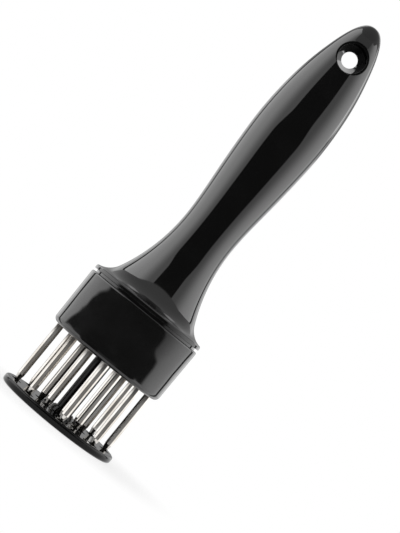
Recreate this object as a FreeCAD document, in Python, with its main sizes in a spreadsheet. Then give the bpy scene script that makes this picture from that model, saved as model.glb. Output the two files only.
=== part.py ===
import FreeCAD, Part
import math
import os

import Sketcher

# Hand-held needle tenderizer, millimetres, standing on its guard disc.
# The origin is the centre of the disc's underside, and +Z points to the tip of the handle.
# Sixteen faceted needles hang from the floor of a cup that locks to the handle with a bayonet.
# The guard disc slides up a central post against a spring hidden in the handle.

Vector = FreeCAD.Vector
doc = FreeCAD.newDocument("meat_tenderizer")

# Driving dimensions: alias, value, meaning
SIZES = [
    ("cup_rim_diameter", 54.0, "cup across its upper rim, the size that the rest of the head follows"),
    ("disc_overhang", 0.5, "guard disc past the cup's upper rim"),
    ("disc_thickness", 3.2, "guard disc plate"),
    ("disc_edge_rounding", 1.1, "radius on both rims of the disc"),
    ("hub_base_diameter", 11.4, "foot of the disc's hub"),
    ("hub_top_diameter", 9.4, "top of the disc's hub"),
    ("hub_rise", 2.5, "hub above the disc plate"),
    ("socket_floor", 2.6, "height of the post's seat in the disc"),
    ("disc_hole_diameter", 4.8, "needle hole in the disc"),
    ("recess_depth", 1.7, "screw recess in the underside"),
    ("recess_diameter", 7.0, "screw recess across"),
    ("travel", 25.0, "stroke of the guard"),
    ("travel_reserve", 0.8, "gap left above the hub at full stroke"),
    ("post_diameter", 7.6, "sliding post"),
    ("running_clearance", 0.08, "radial clearance of the post in its guide"),
    ("needle_width", 3.0, "needle across its flats"),
    ("outer_ring_inset", 2.85, "outer needles' pitch circle inside the cup's bore"),
    ("inner_ring_radius", 10.4, "pitch radius of the inner needles"),
    ("tip_height", 0.7, "needle tips above the underside of the disc"),
    ("tip_width", 0.24, "blunt end of the point"),
    ("point_length", 5.3, "whole faceted point"),
    ("edge_length", 2.0, "steep end of the point"),
    ("edge_width", 1.75, "point where its steep end begins"),
    ("head_diameter", 4.6, "upset needle head"),
    ("head_thickness", 1.2, "upset needle head"),
    ("needle_fit", 0.03, "radial room round a needle's corners in the floor"),
    ("cup_draft", 0.3, "cup wall drawn in at its lower rim"),
    ("cup_depth", 25.5, "cup from lower to upper rim"),
    ("cup_wall", 1.5, "cup wall at its upper rim"),
    ("cup_rounding", 1.5, "lower outer edge of the cup"),
    ("rim_rounding", 0.5, "upper outer edge of the cup"),
    ("floor_thickness", 3.0, "cup floor that carries the needles"),
    ("guide_wall", 1.7, "wall of the guide tube"),
    ("retainer_thickness", 2.5, "plate that holds the needle heads down"),
    ("retainer_gap", 0.5, "room round the retainer plate"),
    ("boss_diameter", 5.4, "screw bosses on the cup floor"),
    ("screw_ring_radius", 16.5, "pitch radius of the retainer screws"),
    ("screw_shank_diameter", 2.4, "retainer screw shank"),
    ("screw_head_diameter", 4.6, "retainer screw head"),
    ("screw_head_height", 1.6, "retainer screw head"),
    ("screw_bite", 2.4, "retainer screw below the cup floor's top"),
    ("stop_gap", 0.1, "guide tube to stop washer at rest"),
    ("washer_diameter", 10.8, "stop washer"),
    ("washer_thickness", 1.2, "stop washer"),
    ("post_screw_diameter", 3.0, "shank of the two post screws"),
    ("post_screw_head", 6.0, "head of the two post screws"),
    ("post_screw_head_height", 1.5, "head of the two post screws"),
    ("post_screw_bite", 10.0, "post screws inside the post"),
    ("joint_gap", 1.1, "open gap between cup rim and handle lip"),
    ("plug_clearance", 0.2, "radial clearance of the handle's plug in the cup"),
    ("plug_wall", 2.1, "wall of the handle's plug"),
    ("plug_depth", 11.7, "plug below the lip"),
    ("lug_depth", 1.5, "bayonet lug inwards from the cup wall"),
    ("lug_width", 5.2, "bayonet lug along the wall"),
    ("lug_height", 2.0, "bayonet lug"),
    ("lug_drop", 7.0, "underside of the lugs below the cup rim"),
    ("slot_clearance", 0.4, "room above and below a lug in its slot"),
    ("slot_side", 1.1, "room beside a lug in its slot"),
    ("twist_angle", 30.0, "turn of the bayonet, degrees"),
    ("lip_inset", 0.2, "handle lip inside the cup's upper rim"),
    ("lip_thickness", 1.3, "straight edge of the lip"),
    ("lip_chamfer", 0.5, "upper corner of the lip"),
    ("lip_blend_radius", 9.5, "tight curve from the lip into the flare"),
    ("flare_radius", 77.0, "long curve from the flare into the neck"),
    ("flare_rise", 38.1, "top of the lip to the neck, the narrowest place"),
    ("neck_diameter", 23.9, "neck, which is round"),
    ("shell_wall", 2.6, "wall of the flare"),
    ("hollow_low", 32.5, "wide end of the flare's hollow below the neck"),
    ("hollow_middle", 23.0, "middle of the flare's hollow below the neck"),
    ("hollow_high", 6.0, "top of the flare's hollow below the neck"),
    ("tube_wall", 2.0, "inner spring tube of the handle"),
    ("tube_start", 0.6, "spring tube above the stop washer"),
    ("spring_bore", 12.6, "bore for the spring"),
    ("bore_above_neck", 32.0, "end of the spring's bore above the neck"),
    ("spring_diameter", 10.4, "spring outside"),
    ("spring_wire", 1.2, "spring wire"),
    ("spring_turns", 11.0, "turns of the spring"),
    ("grip_length", 107.4, "neck to the tip of the handle"),
    ("nape_width", 24.0, "grip close above the neck, left to right"),
    ("nape_flattening", 0.03, "grip there, narrower front to back by"),
    ("waist_width", 24.9, "grip at its waist"),
    ("waist_flattening", 0.1, "grip there, narrower front to back by"),
    ("swell_width", 27.3, "grip where it begins to swell"),
    ("swell_flattening", 0.4, "grip there, narrower front to back by"),
    ("rise_width", 29.5, "grip under the palm"),
    ("rise_flattening", 1.5, "grip there, narrower front to back by"),
    ("palm_width", 30.75, "widest place of the grip"),
    ("palm_flattening", 2.25, "grip there, narrower front to back by"),
    ("shoulder_width", 29.55, "grip above the palm"),
    ("shoulder_flattening", 3.0, "grip there, narrower front to back by"),
    ("taper_width", 26.2, "grip where it narrows to the end"),
    ("taper_flattening", 3.5, "grip there, narrower front to back by"),
    ("eye_width", 20.8, "grip at the hanging hole"),
    ("eye_flattening", 3.5, "grip there, narrower front to back by"),
    ("crown_width", 15.2, "grip above the hanging hole"),
    ("crown_flattening", 2.2, "grip there, narrower front to back by"),
    ("nose_width", 9.9, "rounded end of the grip"),
    ("nose_flattening", 1.2, "grip there, narrower front to back by"),
    ("tip_flat_width", 3.2, "last small flat of the grip"),
    ("tip_flat_flattening", 0.2, "grip there, narrower front to back by"),
    ("eye_drop", 16.7, "centre of the hanging hole below the tip"),
    ("eye_bore", 6.8, "hanging hole"),
    ("eye_throat", 1.6, "straight part of the hanging hole"),
    ("eye_recess", 13.0, "round recess on both faces"),
    ("eye_floor", 10.4, "distance between the two recess floors' rims"),
    ("eye_rounding", 0.6, "rounded rim of the recess"),
]
sizes = {alias: value for alias, value, meaning in SIZES}
rim_radius = sizes["cup_rim_diameter"] / 2


def fill_sheet():
    """Write every driving dimension into the sheet: name, value and meaning."""
    sheet = doc.addObject("Spreadsheet::Sheet", "Sizes")
    for row, (alias, value, meaning) in enumerate(SIZES, start=1):
        sheet.set(f"A{row}", alias)
        sheet.set(f"B{row}", str(value))
        sheet.set(f"C{row}", meaning)
        sheet.setAlias(f"B{row}", alias)
    doc.recompute()


def size(text):
    """Turn words of the form <alias> into references to the sheet."""
    return text.replace("<", "Sizes.").replace(">", "")


def plus(names):
    """Sum of named sizes as an expression."""
    return "(" + " + ".join(f"<{name}>" for name in names) + ")"


def total(names):
    """The same sum as a number, for the first place of an arc."""
    return sum(sizes[name] for name in names)


# Heights that several pieces share, each a stack of sizes from the underside of the disc
HUB_STACK = ["disc_thickness", "hub_rise"]
CUP_BASE_STACK = HUB_STACK + ["travel", "travel_reserve"]
FLOOR_STACK = CUP_BASE_STACK + ["floor_thickness"]
HEADS_STACK = FLOOR_STACK + ["head_thickness"]
RETAINER_STACK = HEADS_STACK + ["retainer_thickness"]
CUP_RIM_STACK = CUP_BASE_STACK + ["cup_depth"]
LIP_BASE_STACK = CUP_RIM_STACK + ["joint_gap"]
LIP_TOP_STACK = LIP_BASE_STACK + ["lip_thickness", "lip_chamfer"]
NECK_STACK = LIP_TOP_STACK + ["flare_rise"]
TOP_OF_DISC = "<disc_thickness>"
TOP_OF_HUB = plus(HUB_STACK)
CUP_BASE = plus(CUP_BASE_STACK)
TOP_OF_FLOOR = plus(FLOOR_STACK)
TOP_OF_HEADS = plus(HEADS_STACK)
TOP_OF_RETAINER = plus(RETAINER_STACK)
CUP_RIM = plus(CUP_RIM_STACK)
LIP_BASE = plus(LIP_BASE_STACK)
LIP_TOP = plus(LIP_TOP_STACK)
NECK = plus(NECK_STACK)
PLUG_BASE = f"({LIP_BASE} - <plug_depth>)"
GUIDE_TOP = f"({LIP_BASE} + <lip_thickness>)"
WASHER_BASE = f"({GUIDE_TOP} + <stop_gap>)"
WASHER_TOP = f"({WASHER_BASE} + <washer_thickness>)"
TUBE_BASE = f"({WASHER_TOP} + <tube_start>)"
SPRING_SEAT = f"({NECK} + <bore_above_neck>)"
RIM_RADIUS = "(<cup_rim_diameter> / 2)"
DISC_RADIUS = f"({RIM_RADIUS} + <disc_overhang>)"
FOOT_RADIUS = f"({RIM_RADIUS} - <cup_draft>)"
BORE_RADIUS = f"({RIM_RADIUS} - <cup_wall>)"
LIP_RADIUS = f"({RIM_RADIUS} - <lip_inset>)"
PLUG_RADIUS = f"({BORE_RADIUS} - <plug_clearance>)"
GUIDE_BORE = "(<post_diameter> / 2 + <running_clearance>)"
GUIDE_OUTSIDE = f"({GUIDE_BORE} + <guide_wall>)"
SHANK_END = f"({TOP_OF_FLOOR} - <screw_bite>)"
EYE_HEIGHT = f"({NECK} + <grip_length> - <eye_drop>)"

# Stations of the grip: share of its length, and the prefix of its width and flattening
GRIP_STATIONS = [
    (0.03, "nape"),
    (0.10, "waist"),
    (0.22, "swell"),
    (0.35, "rise"),
    (0.48, "palm"),
    (0.62, "shoulder"),
    (0.74, "taper"),
    (0.85, "eye"),
    (0.93, "crown"),
    (0.975, "nose"),
    (1.0, "tip_flat"),
]
RINGS = [("outer", f"({BORE_RADIUS} - <outer_ring_inset>)"), ("inner", "<inner_ring_radius>")]
NEEDLES_PER_RING = 8
RETAINER_SCREWS = 4
BAYONET_LUGS = 3


def plane_of(body, role):
    """Origin plane of a body, found by its role."""
    return next(item for item in body.Origin.OriginFeatures if item.Role == role)


def new_body(name):
    body = doc.addObject("PartDesign::Body", name)
    body.Label = name
    return body


def new_sketch(body, role, name, height=None):
    """Sketch on an origin plane of its body, lifted along the plane's normal if a height is given."""
    sketch = body.newObject("Sketcher::SketchObject", name)
    sketch.AttachmentSupport = (plane_of(body, role), [""])
    sketch.MapMode = "FlatFace"
    if height:
        sketch.setExpression("AttachmentOffset.Base.z", size(height))
    return sketch


def pin_point(sketch, line, point, place):
    """Hold one end of a line at a place given by two expressions."""
    drawn = sketch.getPoint(line, point)
    for kind, start, words in (("DistanceX", drawn.x, place[0]), ("DistanceY", drawn.y, place[1])):
        index = sketch.addConstraint(Sketcher.Constraint(kind, -1, 1, line, point, start))
        sketch.setExpression(f"Constraints[{index}]", size(words))


def draw_polygon(sketch, corners):
    """Closed outline of straight lines, each corner held by two expressions."""
    count = len(corners)
    start = [
        Vector(math.cos(2 * math.pi * i / count), math.sin(2 * math.pi * i / count), 0)
        for i in range(count)
    ]
    lines = [
        sketch.addGeometry(Part.LineSegment(start[i], start[(i + 1) % count]), False)
        for i in range(count)
    ]
    for i, line in enumerate(lines):
        sketch.addConstraint(Sketcher.Constraint("Coincident", line, 2, lines[(i + 1) % count], 1))
    for line, place in zip(lines, corners):
        pin_point(sketch, line, 1, place)


def draw_circle(sketch, place, radius):
    circle = sketch.addGeometry(Part.Circle(Vector(1, 1, 0), Vector(0, 0, 1), 1.0), False)
    pin_point(sketch, circle, 3, place)
    index = sketch.addConstraint(Sketcher.Constraint("Radius", circle, 1.0))
    sketch.setExpression(f"Constraints[{index}]", size(radius))


def revolve(body, name, corners):
    """Turn an outline of (radius, height) corners about the body's Z axis."""
    sketch = new_sketch(body, "XZ_Plane", f"{name}_outline")
    draw_polygon(sketch, corners)
    feature = body.newObject("PartDesign::Revolution", name)
    feature.Profile = sketch
    feature.ReferenceAxis = (sketch, ["V_Axis"])
    feature.Angle = 360.0
    return feature


def round_edges(body, name, base, radius, chosen):
    """Fillet the edges of a feature that the test picks out."""
    doc.recompute()
    edges = [f"Edge{i}" for i, edge in enumerate(base.Shape.Edges, start=1) if chosen(edge)]
    fillet = body.newObject("PartDesign::Fillet", name)
    fillet.Base = (base, edges)
    fillet.setExpression("Radius", size(radius))
    return fillet


def is_circle(edge, radius):
    return isinstance(edge.Curve, Part.Circle) and abs(edge.Curve.Radius - radius) < 0.01


def cut_down(body, name, sketch, depth=None):
    """Pocket a sketch on a level plane: through everything, or down to a depth."""
    pocket = body.newObject("PartDesign::Pocket", name)
    pocket.Profile = sketch
    if depth:
        pocket.Type = "Length"
        pocket.setExpression("Length", size(depth))
    else:
        pocket.Type = "ThroughAll"
        pocket.Midplane = True
    return pocket


def repeat_round(body, name, originals, count):
    """Repeat features evenly about the body's Z axis."""
    pattern = body.newObject("PartDesign::PolarPattern", name)
    pattern.Originals = originals
    pattern.Axis = (originals[0].Profile[0], ["N_Axis"])
    pattern.Angle = 360.0
    pattern.Occurrences = count
    body.Tip = pattern
    return pattern


def drill_rings(body, radius):
    """Drill one hole for each needle, ring by ring."""
    for ring, pitch in RINGS:
        sketch = new_sketch(body, "XY_Plane", f"{body.Name}_{ring}_hole")
        draw_circle(sketch, (pitch, "0"), radius)
        hole = cut_down(body, f"{body.Name}_{ring}_drill", sketch)
        repeat_round(body, f"{body.Name}_{ring}_holes", [hole], NEEDLES_PER_RING)


def octagon(width):
    """Corners of a regular octagon, flats towards X and Y, given across its flats."""
    far = f"({width} / 2)"
    near = f"({width} / 2 * tan(22.5 deg))"
    pair = [(far, near), (near, far)]
    corners = []
    for sign_x, sign_y in (("", ""), ("-", ""), ("-", "-"), ("", "-")):
        corners += [(f"{sign_x}{x}", f"{sign_y}{y}") for x, y in pair]
        pair = pair[::-1]
    return corners


def make_guard_disc():
    """Guard plate with a flared hub, a socket for the post and a hole round every needle."""
    body = new_body("guard_disc")
    plate = revolve(body, "guard_plate", [
        ("<recess_diameter> / 2", "0"),
        (DISC_RADIUS, "0"),
        (DISC_RADIUS, TOP_OF_DISC),
        ("<hub_base_diameter> / 2", TOP_OF_DISC),
        ("<hub_top_diameter> / 2", TOP_OF_HUB),
        ("<post_diameter> / 2", TOP_OF_HUB),
        ("<post_diameter> / 2", "<socket_floor>"),
        ("<post_screw_diameter> / 2", "<socket_floor>"),
        ("<post_screw_diameter> / 2", "<recess_depth>"),
        ("<recess_diameter> / 2", "<recess_depth>"),
    ])
    round_edges(body, "guard_rims", plate, "<disc_edge_rounding>",
                lambda edge: is_circle(edge, rim_radius + sizes["disc_overhang"]))
    drill_rings(body, "<disc_hole_diameter> / 2")
    return body


def make_guard_post():
    """Plain round post with a screw hole in each end."""
    body = new_body("guard_post")
    revolve(body, "post_rod", [
        ("0", "<socket_floor> + <post_screw_bite>"),
        ("<post_screw_diameter> / 2", "<socket_floor> + <post_screw_bite>"),
        ("<post_screw_diameter> / 2", "<socket_floor>"),
        ("<post_diameter> / 2", "<socket_floor>"),
        ("<post_diameter> / 2", WASHER_BASE),
        ("<post_screw_diameter> / 2", WASHER_BASE),
        ("<post_screw_diameter> / 2", f"{WASHER_BASE} - <post_screw_bite>"),
        ("0", f"{WASHER_BASE} - <post_screw_bite>"),
    ])
    return body


def make_stop_washer():
    """Flat washer that lands on the guide tube and carries the spring."""
    body = new_body("stop_washer")
    revolve(body, "washer_ring", [
        ("<post_screw_diameter> / 2", WASHER_BASE),
        ("<washer_diameter> / 2", WASHER_BASE),
        ("<washer_diameter> / 2", WASHER_TOP),
        ("<post_screw_diameter> / 2", WASHER_TOP),
    ])
    return body


def cross_recess(body, name, face_height, head, depth, upwards):
    """Cross-shaped driver recess cut into a screw head, as wide as 0.6 of the head."""
    arm = f"({head} * 0.3)"
    half = f"({head} * 0.07)"
    sketch = new_sketch(body, "XY_Plane", f"{name}_cross", face_height)
    draw_polygon(sketch, [
        (arm, f"-{half}"), (arm, half), (half, half), (half, arm),
        (f"-{half}", arm), (f"-{half}", half), (f"-{arm}", half), (f"-{arm}", f"-{half}"),
        (f"-{half}", f"-{half}"), (f"-{half}", f"-{arm}"), (half, f"-{arm}"), (half, f"-{half}"),
    ])
    pocket = cut_down(body, f"{name}_driver", sketch, depth)
    pocket.Reversed = upwards
    return pocket


def make_stop_screw():
    """Screw at the top of the post, head up, with a chamfered head."""
    body = new_body("stop_screw")
    top = f"({WASHER_TOP} + <post_screw_head_height>)"
    revolve(body, "stop_screw_turned", [
        ("0", f"{WASHER_BASE} - <post_screw_bite>"),
        ("<post_screw_diameter> / 2", f"{WASHER_BASE} - <post_screw_bite>"),
        ("<post_screw_diameter> / 2", WASHER_TOP),
        ("<post_screw_head> / 2", WASHER_TOP),
        ("<post_screw_head> / 2", f"{top} - <post_screw_head_height> / 3"),
        ("<post_screw_head> / 2 - <post_screw_head_height> / 2", top),
        ("0", top),
    ])
    cross_recess(body, "stop_screw", top, "<post_screw_head>", "<post_screw_head_height> / 2", False)
    return body


def make_disc_screw():
    """Screw in the underside of the disc, head down in its recess."""
    body = new_body("disc_screw")
    face = "(<recess_depth> - <post_screw_head_height>)"
    revolve(body, "disc_screw_turned", [
        ("0", "<socket_floor> + <post_screw_bite>"),
        ("0", face),
        ("<post_screw_head> / 2 - <post_screw_head_height> / 2", face),
        ("<post_screw_head> / 2", f"{face} + <post_screw_head_height> / 3"),
        ("<post_screw_head> / 2", "<recess_depth>"),
        ("<post_screw_diameter> / 2", "<recess_depth>"),
        ("<post_screw_diameter> / 2", "<socket_floor> + <post_screw_bite>"),
    ])
    cross_recess(body, "disc_screw", face, "<post_screw_head>", "<post_screw_head_height> / 2", True)
    return body


def make_needle(name, pitch, angle):
    """Octagonal steel needle with an upset head and a faceted two-stage point."""
    body = new_body(name)
    stages = [
        ("tip", "<tip_height>", "<tip_width>"),
        ("edge", "(<tip_height> + <edge_length>)", "<edge_width>"),
        ("shoulder", "(<tip_height> + <point_length>)", "<needle_width>"),
    ]
    sections = []
    for stage, height, width in stages:
        section = new_sketch(body, "XY_Plane", f"{name}_{stage}", height)
        draw_polygon(section, octagon(width))
        sections.append(section)
    point = body.newObject("PartDesign::AdditiveLoft", f"{name}_point")
    point.Profile = sections[0]
    point.Sections = sections[1:]
    point.Ruled = True
    shank = new_sketch(body, "XY_Plane", f"{name}_section", stages[2][1])
    draw_polygon(shank, octagon("<needle_width>"))
    bar = body.newObject("PartDesign::Pad", f"{name}_shank")
    bar.Profile = shank
    bar.setExpression("Length", size(f"{TOP_OF_HEADS} - {stages[2][1]}"))
    head_section = new_sketch(body, "XY_Plane", f"{name}_head_section", TOP_OF_FLOOR)
    draw_circle(head_section, ("0", "0"), "<head_diameter> / 2")
    head = body.newObject("PartDesign::Pad", f"{name}_head")
    head.Profile = head_section
    head.setExpression("Length", size("<head_thickness>"))
    body.setExpression("Placement.Base.x", size(f"{pitch} * cos({angle} deg)"))
    body.setExpression("Placement.Base.y", size(f"{pitch} * sin({angle} deg)"))
    return body


def make_cup():
    """Cup with a drafted wall, the needle floor, a long guide tube, screw bosses and bayonet lugs."""
    body = new_body("cup")
    wall = revolve(body, "cup_wall", [
        (GUIDE_BORE, CUP_BASE),
        (FOOT_RADIUS, CUP_BASE),
        (RIM_RADIUS, CUP_RIM),
        (BORE_RADIUS, CUP_RIM),
        (BORE_RADIUS, TOP_OF_FLOOR),
        (GUIDE_OUTSIDE, TOP_OF_FLOOR),
        (GUIDE_OUTSIDE, GUIDE_TOP),
        (GUIDE_BORE, GUIDE_TOP),
    ])
    foot = round_edges(body, "cup_foot", wall, "<cup_rounding>",
                       lambda edge: is_circle(edge, rim_radius - sizes["cup_draft"]))
    round_edges(body, "cup_mouth", foot, "<rim_rounding>",
                lambda edge: is_circle(edge, rim_radius))
    boss_sketch = new_sketch(body, "XY_Plane", "boss_section", TOP_OF_FLOOR)
    draw_circle(boss_sketch, ("<screw_ring_radius> * cos(22.5 deg)", "<screw_ring_radius> * sin(22.5 deg)"),
                "<boss_diameter> / 2")
    boss = body.newObject("PartDesign::Pad", "boss")
    boss.Profile = boss_sketch
    boss.setExpression("Length", size("<head_thickness>"))
    repeat_round(body, "bosses", [boss], RETAINER_SCREWS)
    pilot_sketch = new_sketch(body, "XY_Plane", "pilot_section", TOP_OF_HEADS)
    draw_circle(pilot_sketch, ("<screw_ring_radius> * cos(22.5 deg)", "<screw_ring_radius> * sin(22.5 deg)"),
                "<screw_shank_diameter> / 2")
    pilot = cut_down(body, "pilot_drill", pilot_sketch, "<head_thickness> + <screw_bite>")
    repeat_round(body, "pilots", [pilot], RETAINER_SCREWS)
    lug_sketch = new_sketch(body, "XY_Plane", "lug_section", f"{CUP_RIM} - <lug_drop>")
    draw_polygon(lug_sketch, [
        ("-<lug_width> / 2", f"{BORE_RADIUS} - <lug_depth>"),
        ("<lug_width> / 2", f"{BORE_RADIUS} - <lug_depth>"),
        ("<lug_width> / 2", f"{BORE_RADIUS} + <cup_wall> / 3"),
        ("-<lug_width> / 2", f"{BORE_RADIUS} + <cup_wall> / 3"),
    ])
    lug = body.newObject("PartDesign::Pad", "lug")
    lug.Profile = lug_sketch
    lug.setExpression("Length", size("<lug_height>"))
    repeat_round(body, "lugs", [lug], BAYONET_LUGS)
    drill_rings(body, "<needle_width> / 2 / cos(22.5 deg) + <needle_fit>")
    return body


def make_retainer():
    """Plate that clamps the needle heads to the cup floor."""
    body = new_body("needle_retainer")
    rim = f"({BORE_RADIUS} - <retainer_gap>)"
    revolve(body, "retainer_plate", [
        (f"{GUIDE_OUTSIDE} + <retainer_gap>", TOP_OF_HEADS),
        (rim, TOP_OF_HEADS),
        (rim, TOP_OF_RETAINER),
        (f"{GUIDE_OUTSIDE} + <retainer_gap>", TOP_OF_RETAINER),
    ])
    sketch = new_sketch(body, "XY_Plane", "retainer_hole_section")
    draw_circle(sketch, ("<screw_ring_radius> * cos(22.5 deg)", "<screw_ring_radius> * sin(22.5 deg)"),
                "<screw_shank_diameter> / 2")
    hole = cut_down(body, "retainer_hole", sketch)
    repeat_round(body, "retainer_holes", [hole], RETAINER_SCREWS)
    return body


def make_retainer_screws():
    """The retainer's identical screws, a group of separate solids."""
    top = f"({TOP_OF_RETAINER} + <screw_head_height>)"
    screws = []
    for number in range(RETAINER_SCREWS):
        body = new_body(f"retainer_screw_{number + 1}")
        revolve(body, f"{body.Name}_turned", [
            ("0", SHANK_END),
            ("<screw_shank_diameter> / 2", SHANK_END),
            ("<screw_shank_diameter> / 2", TOP_OF_RETAINER),
            ("<screw_head_diameter> / 2", TOP_OF_RETAINER),
            ("<screw_head_diameter> / 2", f"{top} - <screw_head_height> / 3"),
            ("<screw_head_diameter> / 2 - <screw_head_height> / 2", top),
            ("0", top),
        ])
        cross_recess(body, body.Name, top, "<screw_head_diameter>", "<screw_head_height> / 2", False)
        angle = 22.5 + 360.0 / RETAINER_SCREWS * number
        body.setExpression("Placement.Base.x", size(f"<screw_ring_radius> * cos({angle} deg)"))
        body.setExpression("Placement.Base.y", size(f"<screw_ring_radius> * sin({angle} deg)"))
        screws.append(body)
    group = doc.addObject("Part::Compound", "retainer_screws")
    group.Label = "retainer_screws"
    group.Links = screws
    return group


def make_spring():
    """Compression spring between the stop washer and the end of the handle's bore."""
    body = new_body("return_spring")
    first = f"({WASHER_TOP} + <spring_wire> / 2)"
    sketch = new_sketch(body, "XZ_Plane", "wire_section")
    draw_circle(sketch, ("(<spring_diameter> - <spring_wire>) / 2", first), "<spring_wire> / 2")
    coil = body.newObject("PartDesign::AdditiveHelix", "coil")
    coil.Profile = sketch
    coil.ReferenceAxis = (sketch, ["V_Axis"])
    coil.Mode = "height-turns-angle"
    coil.setExpression("Height", size(f"{SPRING_SEAT} - {WASHER_TOP} - <spring_wire>"))
    coil.setExpression("Turns", size("<spring_turns>"))
    return body


def flare_curves():
    """Two tangent arcs from the lip to the neck, as numbers: centres and meeting point.

    The long arc stands upright at the neck. The tight arc touches it from inside and ends on the lip.
    """
    neck = Vector(sizes["neck_diameter"] / 2, total(NECK_STACK), 0)
    lip = Vector(rim_radius - sizes["lip_inset"] - sizes["lip_chamfer"], total(LIP_TOP_STACK), 0)
    long_centre = neck + Vector(sizes["flare_radius"], 0, 0)
    reach = sizes["flare_radius"] - sizes["lip_blend_radius"]
    across = lip - long_centre
    along = (reach ** 2 - sizes["lip_blend_radius"] ** 2 + across.Length ** 2) / (2 * across.Length)
    aside = math.sqrt(reach ** 2 - along ** 2)
    unit = Vector(across).normalize()
    tight_centre = long_centre + unit * along + Vector(unit.y, -unit.x, 0) * aside
    meeting = long_centre + (tight_centre - long_centre).normalize() * sizes["flare_radius"]
    return neck, lip, long_centre, tight_centre, meeting


def arc_between(centre, start, end):
    """Arc about a centre, anticlockwise from start to end."""
    first = math.atan2(start.y - centre.y, start.x - centre.x)
    last = math.atan2(end.y - centre.y, end.x - centre.x)
    circle = Part.Circle(centre, Vector(0, 0, 1), (start - centre).Length)
    return Part.ArcOfCircle(circle, first, last)


def draw_handle_outline(sketch):
    """Half outline of the handle below the neck: plug, lip, tight arc, long arc and axis."""
    neck, lip, long_centre, tight_centre, meeting = flare_curves()
    places = [
        ("0", PLUG_BASE),
        (PLUG_RADIUS, PLUG_BASE),
        (PLUG_RADIUS, LIP_BASE),
        (LIP_RADIUS, LIP_BASE),
        (LIP_RADIUS, f"{LIP_BASE} + <lip_thickness>"),
        (f"{LIP_RADIUS} - <lip_chamfer>", LIP_TOP),
    ]
    edge = rim_radius - sizes["lip_inset"]
    plug = rim_radius - sizes["cup_wall"] - sizes["plug_clearance"]
    base = lip.y - sizes["lip_chamfer"] - sizes["lip_thickness"]
    low = base - sizes["plug_depth"]
    corners = [Vector(0, low, 0), Vector(plug, low, 0), Vector(plug, base, 0), Vector(edge, base, 0),
               Vector(edge, base + sizes["lip_thickness"], 0), lip]
    lines = [sketch.addGeometry(Part.LineSegment(a, b), False) for a, b in zip(corners, corners[1:])]
    tight = sketch.addGeometry(arc_between(tight_centre, meeting, lip), False)
    long_arc = sketch.addGeometry(arc_between(long_centre, neck, meeting), False)
    top = sketch.addGeometry(Part.LineSegment(neck, Vector(0, neck.y, 0)), False)
    axis = sketch.addGeometry(Part.LineSegment(Vector(0, neck.y, 0), corners[0]), False)
    for before, after in zip(lines, lines[1:]):
        sketch.addConstraint(Sketcher.Constraint("Coincident", before, 2, after, 1))
    for line, place in zip(lines, places):
        pin_point(sketch, line, 1, place)
    pin_point(sketch, lines[-1], 2, places[-1])
    sketch.addConstraint(Sketcher.Constraint("Coincident", lines[-1], 2, tight, 2))
    sketch.addConstraint(Sketcher.Constraint("Tangent", tight, 1, long_arc, 2))
    sketch.addConstraint(Sketcher.Constraint("Coincident", long_arc, 1, top, 1))
    sketch.addConstraint(Sketcher.Constraint("Coincident", top, 2, axis, 1))
    sketch.addConstraint(Sketcher.Constraint("Coincident", axis, 2, lines[0], 1))
    sketch.addConstraint(Sketcher.Constraint("Vertical", axis))
    pin_point(sketch, top, 1, ("<neck_diameter> / 2", NECK))
    sketch.addConstraint(Sketcher.Constraint("Horizontal", top))
    level = sketch.addConstraint(Sketcher.Constraint("DistanceY", -1, 1, long_arc, 3, neck.y))
    sketch.setExpression(f"Constraints[{level}]", size(NECK))
    for arc, name in ((tight, "lip_blend_radius"), (long_arc, "flare_radius")):
        index = sketch.addConstraint(Sketcher.Constraint("Radius", arc, sizes[name]))
        sketch.setExpression(f"Constraints[{index}]", size(f"<{name}>"))


def make_handle_base():
    """Flare, lip and bayonet plug of the handle, hollow round an inner spring tube."""
    body = new_body("handle_base")
    sketch = new_sketch(body, "XZ_Plane", "flare_outline")
    draw_handle_outline(sketch)
    solid = body.newObject("PartDesign::Revolution", "flare")
    solid.Profile = sketch
    solid.ReferenceAxis = (sketch, ["V_Axis"])
    solid.Angle = 360.0
    hollow = new_sketch(body, "XZ_Plane", "hollow_outline")
    plug_inside = f"({PLUG_RADIUS} - <plug_wall>)"
    tube = "(<spring_bore> / 2 + <tube_wall>)"
    draw_polygon(hollow, [
        ("0", f"{PLUG_BASE} - <plug_wall>"),
        (plug_inside, f"{PLUG_BASE} - <plug_wall>"),
        (plug_inside, f"{LIP_BASE} - <shell_wall> / 2"),
        (f"{plug_inside} - <shell_wall>", LIP_TOP),
        inside_flare("hollow_low"),
        inside_flare("hollow_middle"),
        inside_flare("hollow_high"),
        (tube, f"{NECK} - <hollow_high>"),
        (tube, TUBE_BASE),
        ("0", TUBE_BASE),
    ])
    core = body.newObject("PartDesign::Groove", "hollow")
    core.Profile = hollow
    core.ReferenceAxis = (hollow, ["V_Axis"])
    core.Angle = 360.0
    cut_bayonet_slots(body)
    return body


def inside_flare(below_neck):
    """Point on the inner wall of the flare: the long arc's radius at that height, less the wall."""
    dip = f"sqrt(<flare_radius> * <flare_radius> - <{below_neck}> * <{below_neck}>)"
    radius = f"<neck_diameter> / 2 + <flare_radius> - {dip} - <shell_wall>"
    return radius, f"{NECK} - <{below_neck}>"


def wedge(body, name, height, first_angle, last_angle):
    """Sector from the axis past the plug's wall, between two angles given as expressions."""
    reach = f"{PLUG_RADIUS} * 1.2"
    sketch = new_sketch(body, "XY_Plane", name, height)
    draw_polygon(sketch, [
        ("0", "0"),
        (f"{reach} * cos({first_angle})", f"{reach} * sin({first_angle})"),
        (f"{reach} * cos({last_angle})", f"{reach} * sin({last_angle})"),
    ])
    return sketch


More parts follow.
